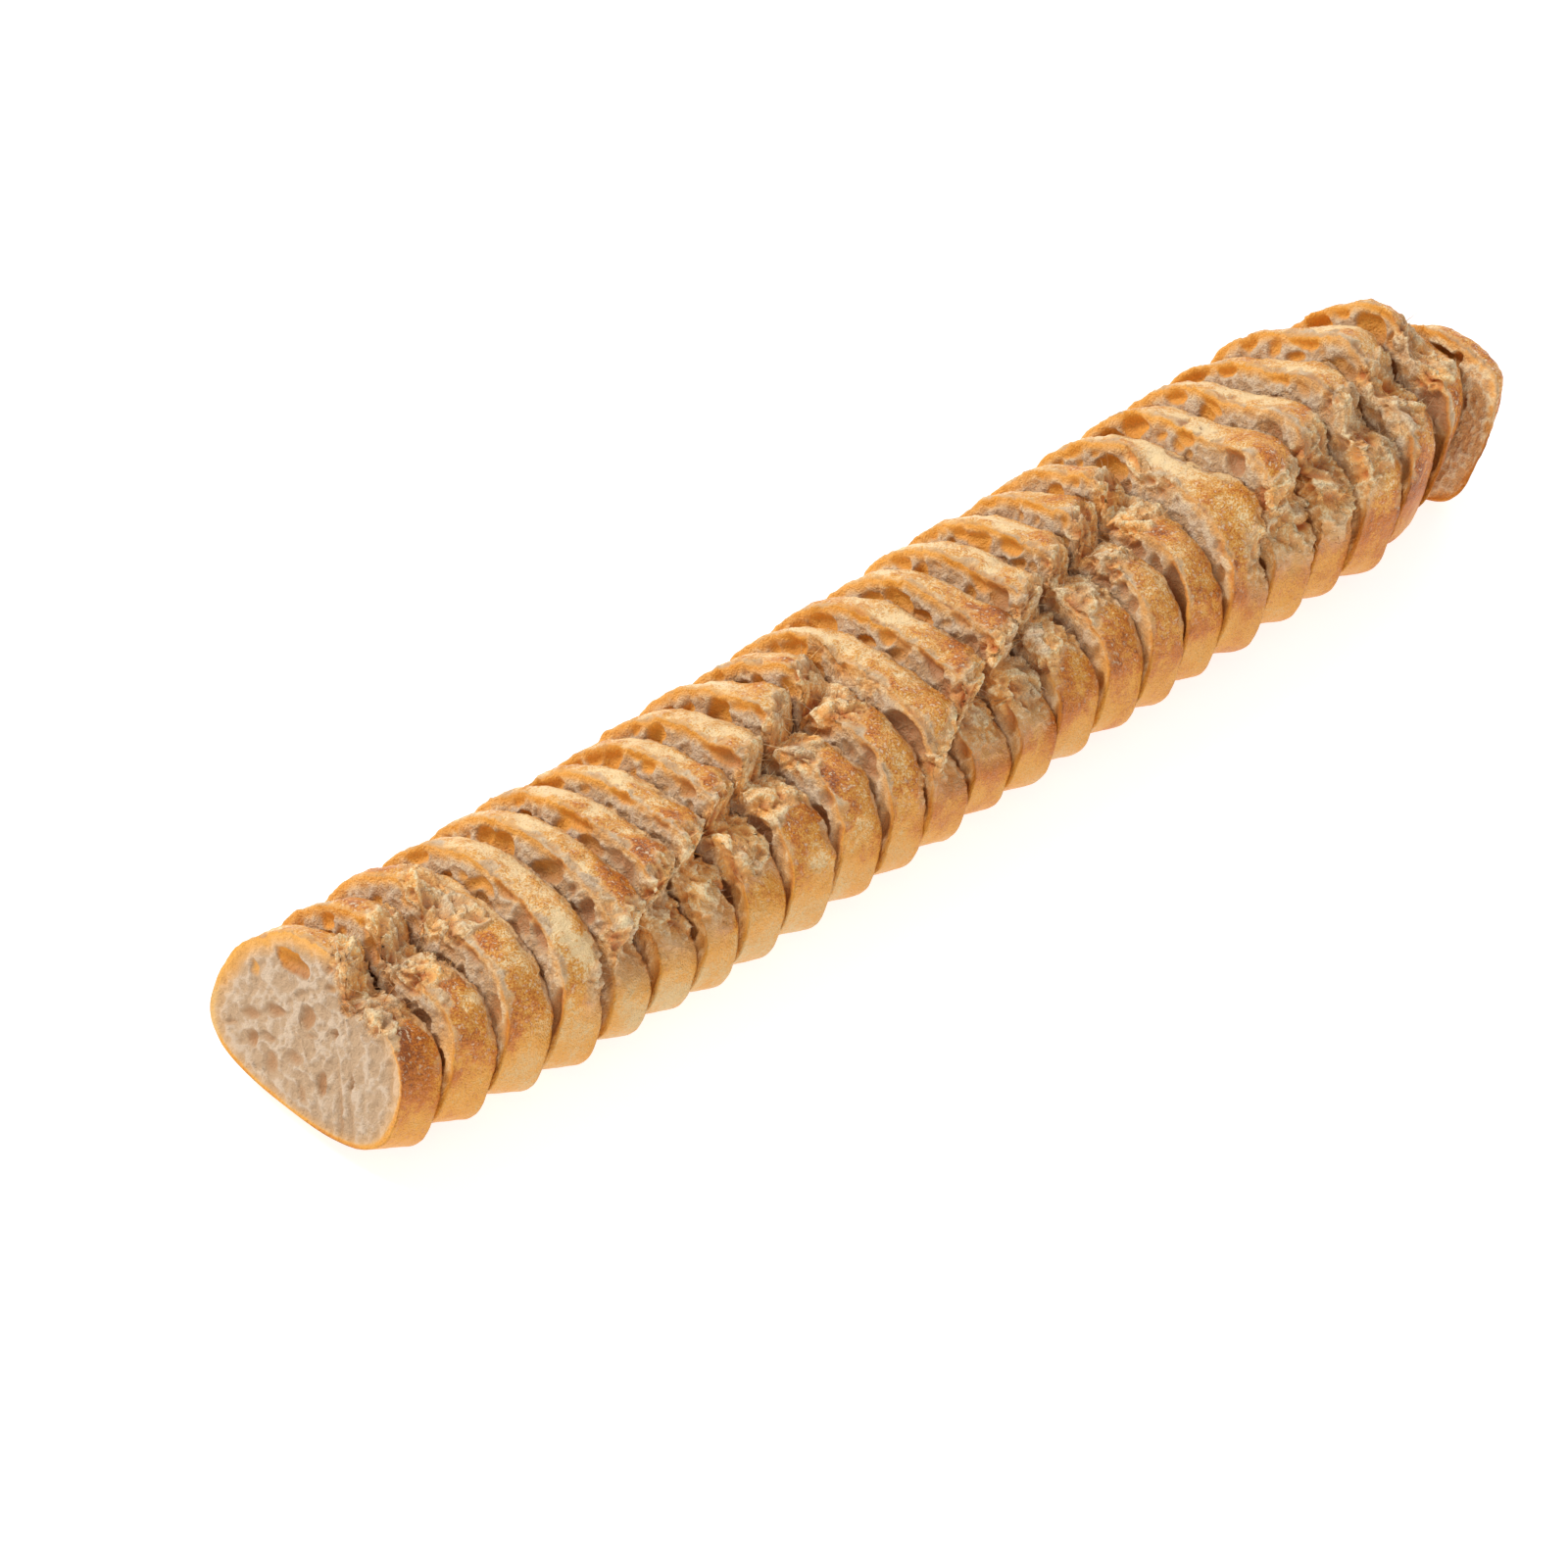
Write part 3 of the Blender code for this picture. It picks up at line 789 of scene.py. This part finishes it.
class Graph:
    """Short ways to add shader nodes to a material."""

    def __init__(self, name):
        self.material = bpy.data.materials.new(name)
        self.material.use_nodes = True
        self.tree = self.material.node_tree
        self.shader = self.tree.nodes["Principled BSDF"]

    def put(self, socket, value):
        """Link another node's output to a socket, or set the socket's own value."""
        if isinstance(value, bpy.types.NodeSocket):
            self.tree.links.new(value, socket)
        else:
            socket.default_value = value

    def mask(self, name):
        node = self.tree.nodes.new("ShaderNodeAttribute")
        node.attribute_name = name
        return node.outputs["Fac"]

    def place(self, name):
        node = self.tree.nodes.new("ShaderNodeAttribute")
        node.attribute_name = name
        return node.outputs["Vector"]

    def height_of(self, place):
        node = self.tree.nodes.new("ShaderNodeSeparateXYZ")
        self.put(node.inputs["Vector"], place)
        return node.outputs["Z"]

    def math(self, operation, first, second=0.0, third=0.0):
        node = self.tree.nodes.new("ShaderNodeMath")
        node.operation = operation
        self.put(node.inputs[0], first)
        self.put(node.inputs[1], second)
        self.put(node.inputs[2], third)
        return node.outputs[0]

    def noise(self, place, size, detail, roughness):
        node = self.tree.nodes.new("ShaderNodeTexNoise")
        self.put(node.inputs["Vector"], place)
        self.put(node.inputs["Scale"], 1.0 / size)
        self.put(node.inputs["Detail"], detail)
        self.put(node.inputs["Roughness"], roughness)
        return node.outputs["Fac"]

    def step(self, value, low, high):
        node = self.tree.nodes.new("ShaderNodeMapRange")
        node.interpolation_type = "SMOOTHSTEP"
        self.put(node.inputs["Value"], value)
        self.put(node.inputs["From Min"], low)
        self.put(node.inputs["From Max"], high)
        return node.outputs["Result"]

    def mix(self, share, first, second):
        node = self.tree.nodes.new("ShaderNodeMix")
        node.data_type = "RGBA"
        self.put(node.inputs["Factor"], share)
        self.put(node.inputs["A"], first)
        self.put(node.inputs["B"], second)
        return node.outputs["Result"]

    def bump(self, height, distance, strength):
        node = self.tree.nodes.new("ShaderNodeBump")
        self.put(node.inputs["Height"], height)
        self.put(node.inputs["Distance"], distance)
        self.put(node.inputs["Strength"], strength)
        return node.outputs["Normal"]


def colour(display):
    """A display colour from 0 to 255 as the linear colour that shaders take."""
    linear = []
    for value in display:
        share = value / 255.0
        linear.append(share / 12.92 if share <= 0.04045 else ((share + 0.055) / 1.055) ** 2.4)
    return (*linear, 1.0)


def crust_colour(g, place, mottle, uneven):
    """Pale to dark by how toasted the crust is, with painted shade at the front of each slice's crown,
    speckled, with flour left on it; paler and more floured on the crown, partly as painted sheen.
    """
    top = g.step(g.height_of(place), 18 * MM, 34 * MM)
    spread = g.math("MULTIPLY", uneven, g.math("MULTIPLY_ADD", top, 1.5, 1.0))
    toast_and_shade = g.math("ADD", spread, g.mask("toast_and_shade"))
    # Paler towards the crown: partly the crust's own tone, partly painted sheen
    crust = g.mix(top, colour(WALL_CRUST), colour(CROWN_CRUST_AND_SHEEN))
    crust = g.mix(g.step(toast_and_shade, -0.1, 0.38), crust, colour(GOLDEN_CRUST))
    crust = g.mix(g.step(toast_and_shade, 0.34, 0.74), crust, colour(BROWN_CRUST))
    crust = g.mix(g.step(toast_and_shade, 0.68, 1.20), crust, colour(DARK_CRUST))
    # Flour specks, heavier on the crown as painted sheen
    flour = g.math("MULTIPLY", g.step(mottle, 0.56, 0.70), g.math("MULTIPLY_ADD", top, 0.60, 0.1))
    return g.mix(flour, crust, colour(FLOUR_AND_SHEEN))


def crumb_colour(g, uneven):
    """Pale strands over tan cells and brown holes, darker with depth as painted shade, more golden where
    the crumb is toasted.
    """
    gold = g.step(g.math("MULTIPLY_ADD", uneven, 1.4, g.mask("toast_and_shade")), 0.0, 1.0)
    strand, cell, hole = [g.mix(gold, colour(pale), colour(golden))
                          for pale, golden in (STRAND_COLOURS, CELL_COLOURS, HOLE_SHADE_COLOURS)]
    pit_shade = g.mask("pit_shade")
    # Painted shade: darker the deeper the hollow, mixed with random tone from the noise
    depth = g.math("MULTIPLY_ADD", uneven, g.math("MULTIPLY_ADD", g.mask("torn"), -1.4, -0.8), pit_shade)
    crumb = g.mix(g.step(depth, -0.05, 0.50), strand, cell)
    return g.mix(g.step(pit_shade, 0.38, 1.0), crumb, hole)


def bread_material():
    """Crust and crumb in one material, mixed by the mesh's masks."""
    g = Graph("bread")
    place = g.place("loaf_place")
    crumb = g.mask("crumb")
    mottle = g.noise(place, MOTTLE_SIZE * MM, 2.0, 0.6)
    grain = g.noise(place, GRAIN_SIZE * MM, 1.0, 0.5)
    speckle = g.math("ADD", g.math("MULTIPLY", mottle, 0.5), g.math("MULTIPLY", grain, 0.5))
    uneven = g.math("SUBTRACT", speckle, 0.5)
    bread = g.mix(crumb, crust_colour(g, place, mottle, uneven), crumb_colour(g, uneven))
    # Painted light: amber where light shines through the crust and crumb
    bread = g.mix(g.math("MULTIPLY", g.mask("painted_glow"), PAINTED_AMBER_LIGHT_SHARE), bread, colour(PAINTED_AMBER_LIGHT))
    g.put(g.shader.inputs["Base Color"], bread)
    g.put(g.shader.inputs["Roughness"], g.math("MULTIPLY_ADD", crumb, CRUMB_ROUGHNESS, CRUST_ROUGHNESS))
    g.put(g.shader.inputs["Specular IOR Level"], SPECULAR)
    g.put(g.shader.inputs["Normal"], g.bump(speckle, BUMP_DEPTH * MM, 1.0))
    return g.material


# ---------------------------------------------------------------- stage

def soft_light(name, place, size, power):
    light = bpy.data.lights.new(name, "AREA")
    light.shape = "DISK"
    light.size = size
    light.energy = power
    lamp = bpy.data.objects.new(name, light)
    lamp.location = place
    lamp.rotation_euler = (Vector(LIGHTS_AIM) - Vector(place)).to_track_quat("-Z", "Y").to_euler()
    bpy.context.scene.collection.objects.link(lamp)


def build_floor():
    """A pale floor, a little under the loaf, that stays near white in the picture."""
    mesh = bpy.data.meshes.new("floor")
    reach = FLOOR_REACH
    corners = [(-reach, -reach, 0), (reach, -reach, 0), (reach, reach, 0), (-reach, reach, 0)]
    mesh.from_pydata(corners, [], [(0, 1, 2, 3)])
    floor = bpy.data.objects.new("floor", mesh)
    floor.location.z = -FLOOR_DROP
    bpy.context.scene.collection.objects.link(floor)
    g = Graph("pale_floor")
    g.put(g.shader.inputs["Base Color"], FLOOR_GREY)
    g.put(g.shader.inputs["Roughness"], 0.9)
    g.put(g.shader.inputs["Emission Color"], WHITE)
    g.put(g.shader.inputs["Emission Strength"], FLOOR_GLOW)
    mesh.materials.append(g.material)


def build_stage():
    build_floor()
    world = bpy.data.worlds.new("studio")
    world.use_nodes = True
    sky = world.node_tree.nodes["Background"]
    sky.inputs["Color"].default_value = WHITE
    sky.inputs["Strength"].default_value = WORLD_STRENGTH
    bpy.context.scene.world = world
    bpy.context.scene.view_settings.view_transform = "Standard"
    for light in LIGHTS:
        soft_light(*light)


def build_camera():
    camera = bpy.data.cameras.new("camera")
    camera.lens = CAMERA_LENS
    camera.sensor_width = CAMERA_SENSOR
    stand = bpy.data.objects.new("camera", camera)
    place = Vector(CAMERA_PLACE)
    stand.location = place
    stand.rotation_euler = (Vector(CAMERA_AIM) - place).to_track_quat("-Z", "Y").to_euler()
    bpy.context.scene.collection.objects.link(stand)
    bpy.context.scene.camera = stand


build_camera()
build_stage()
BREAD = bread_material()
for slice_index in range(SLICES):
    build_slice(slice_index, BREAD)
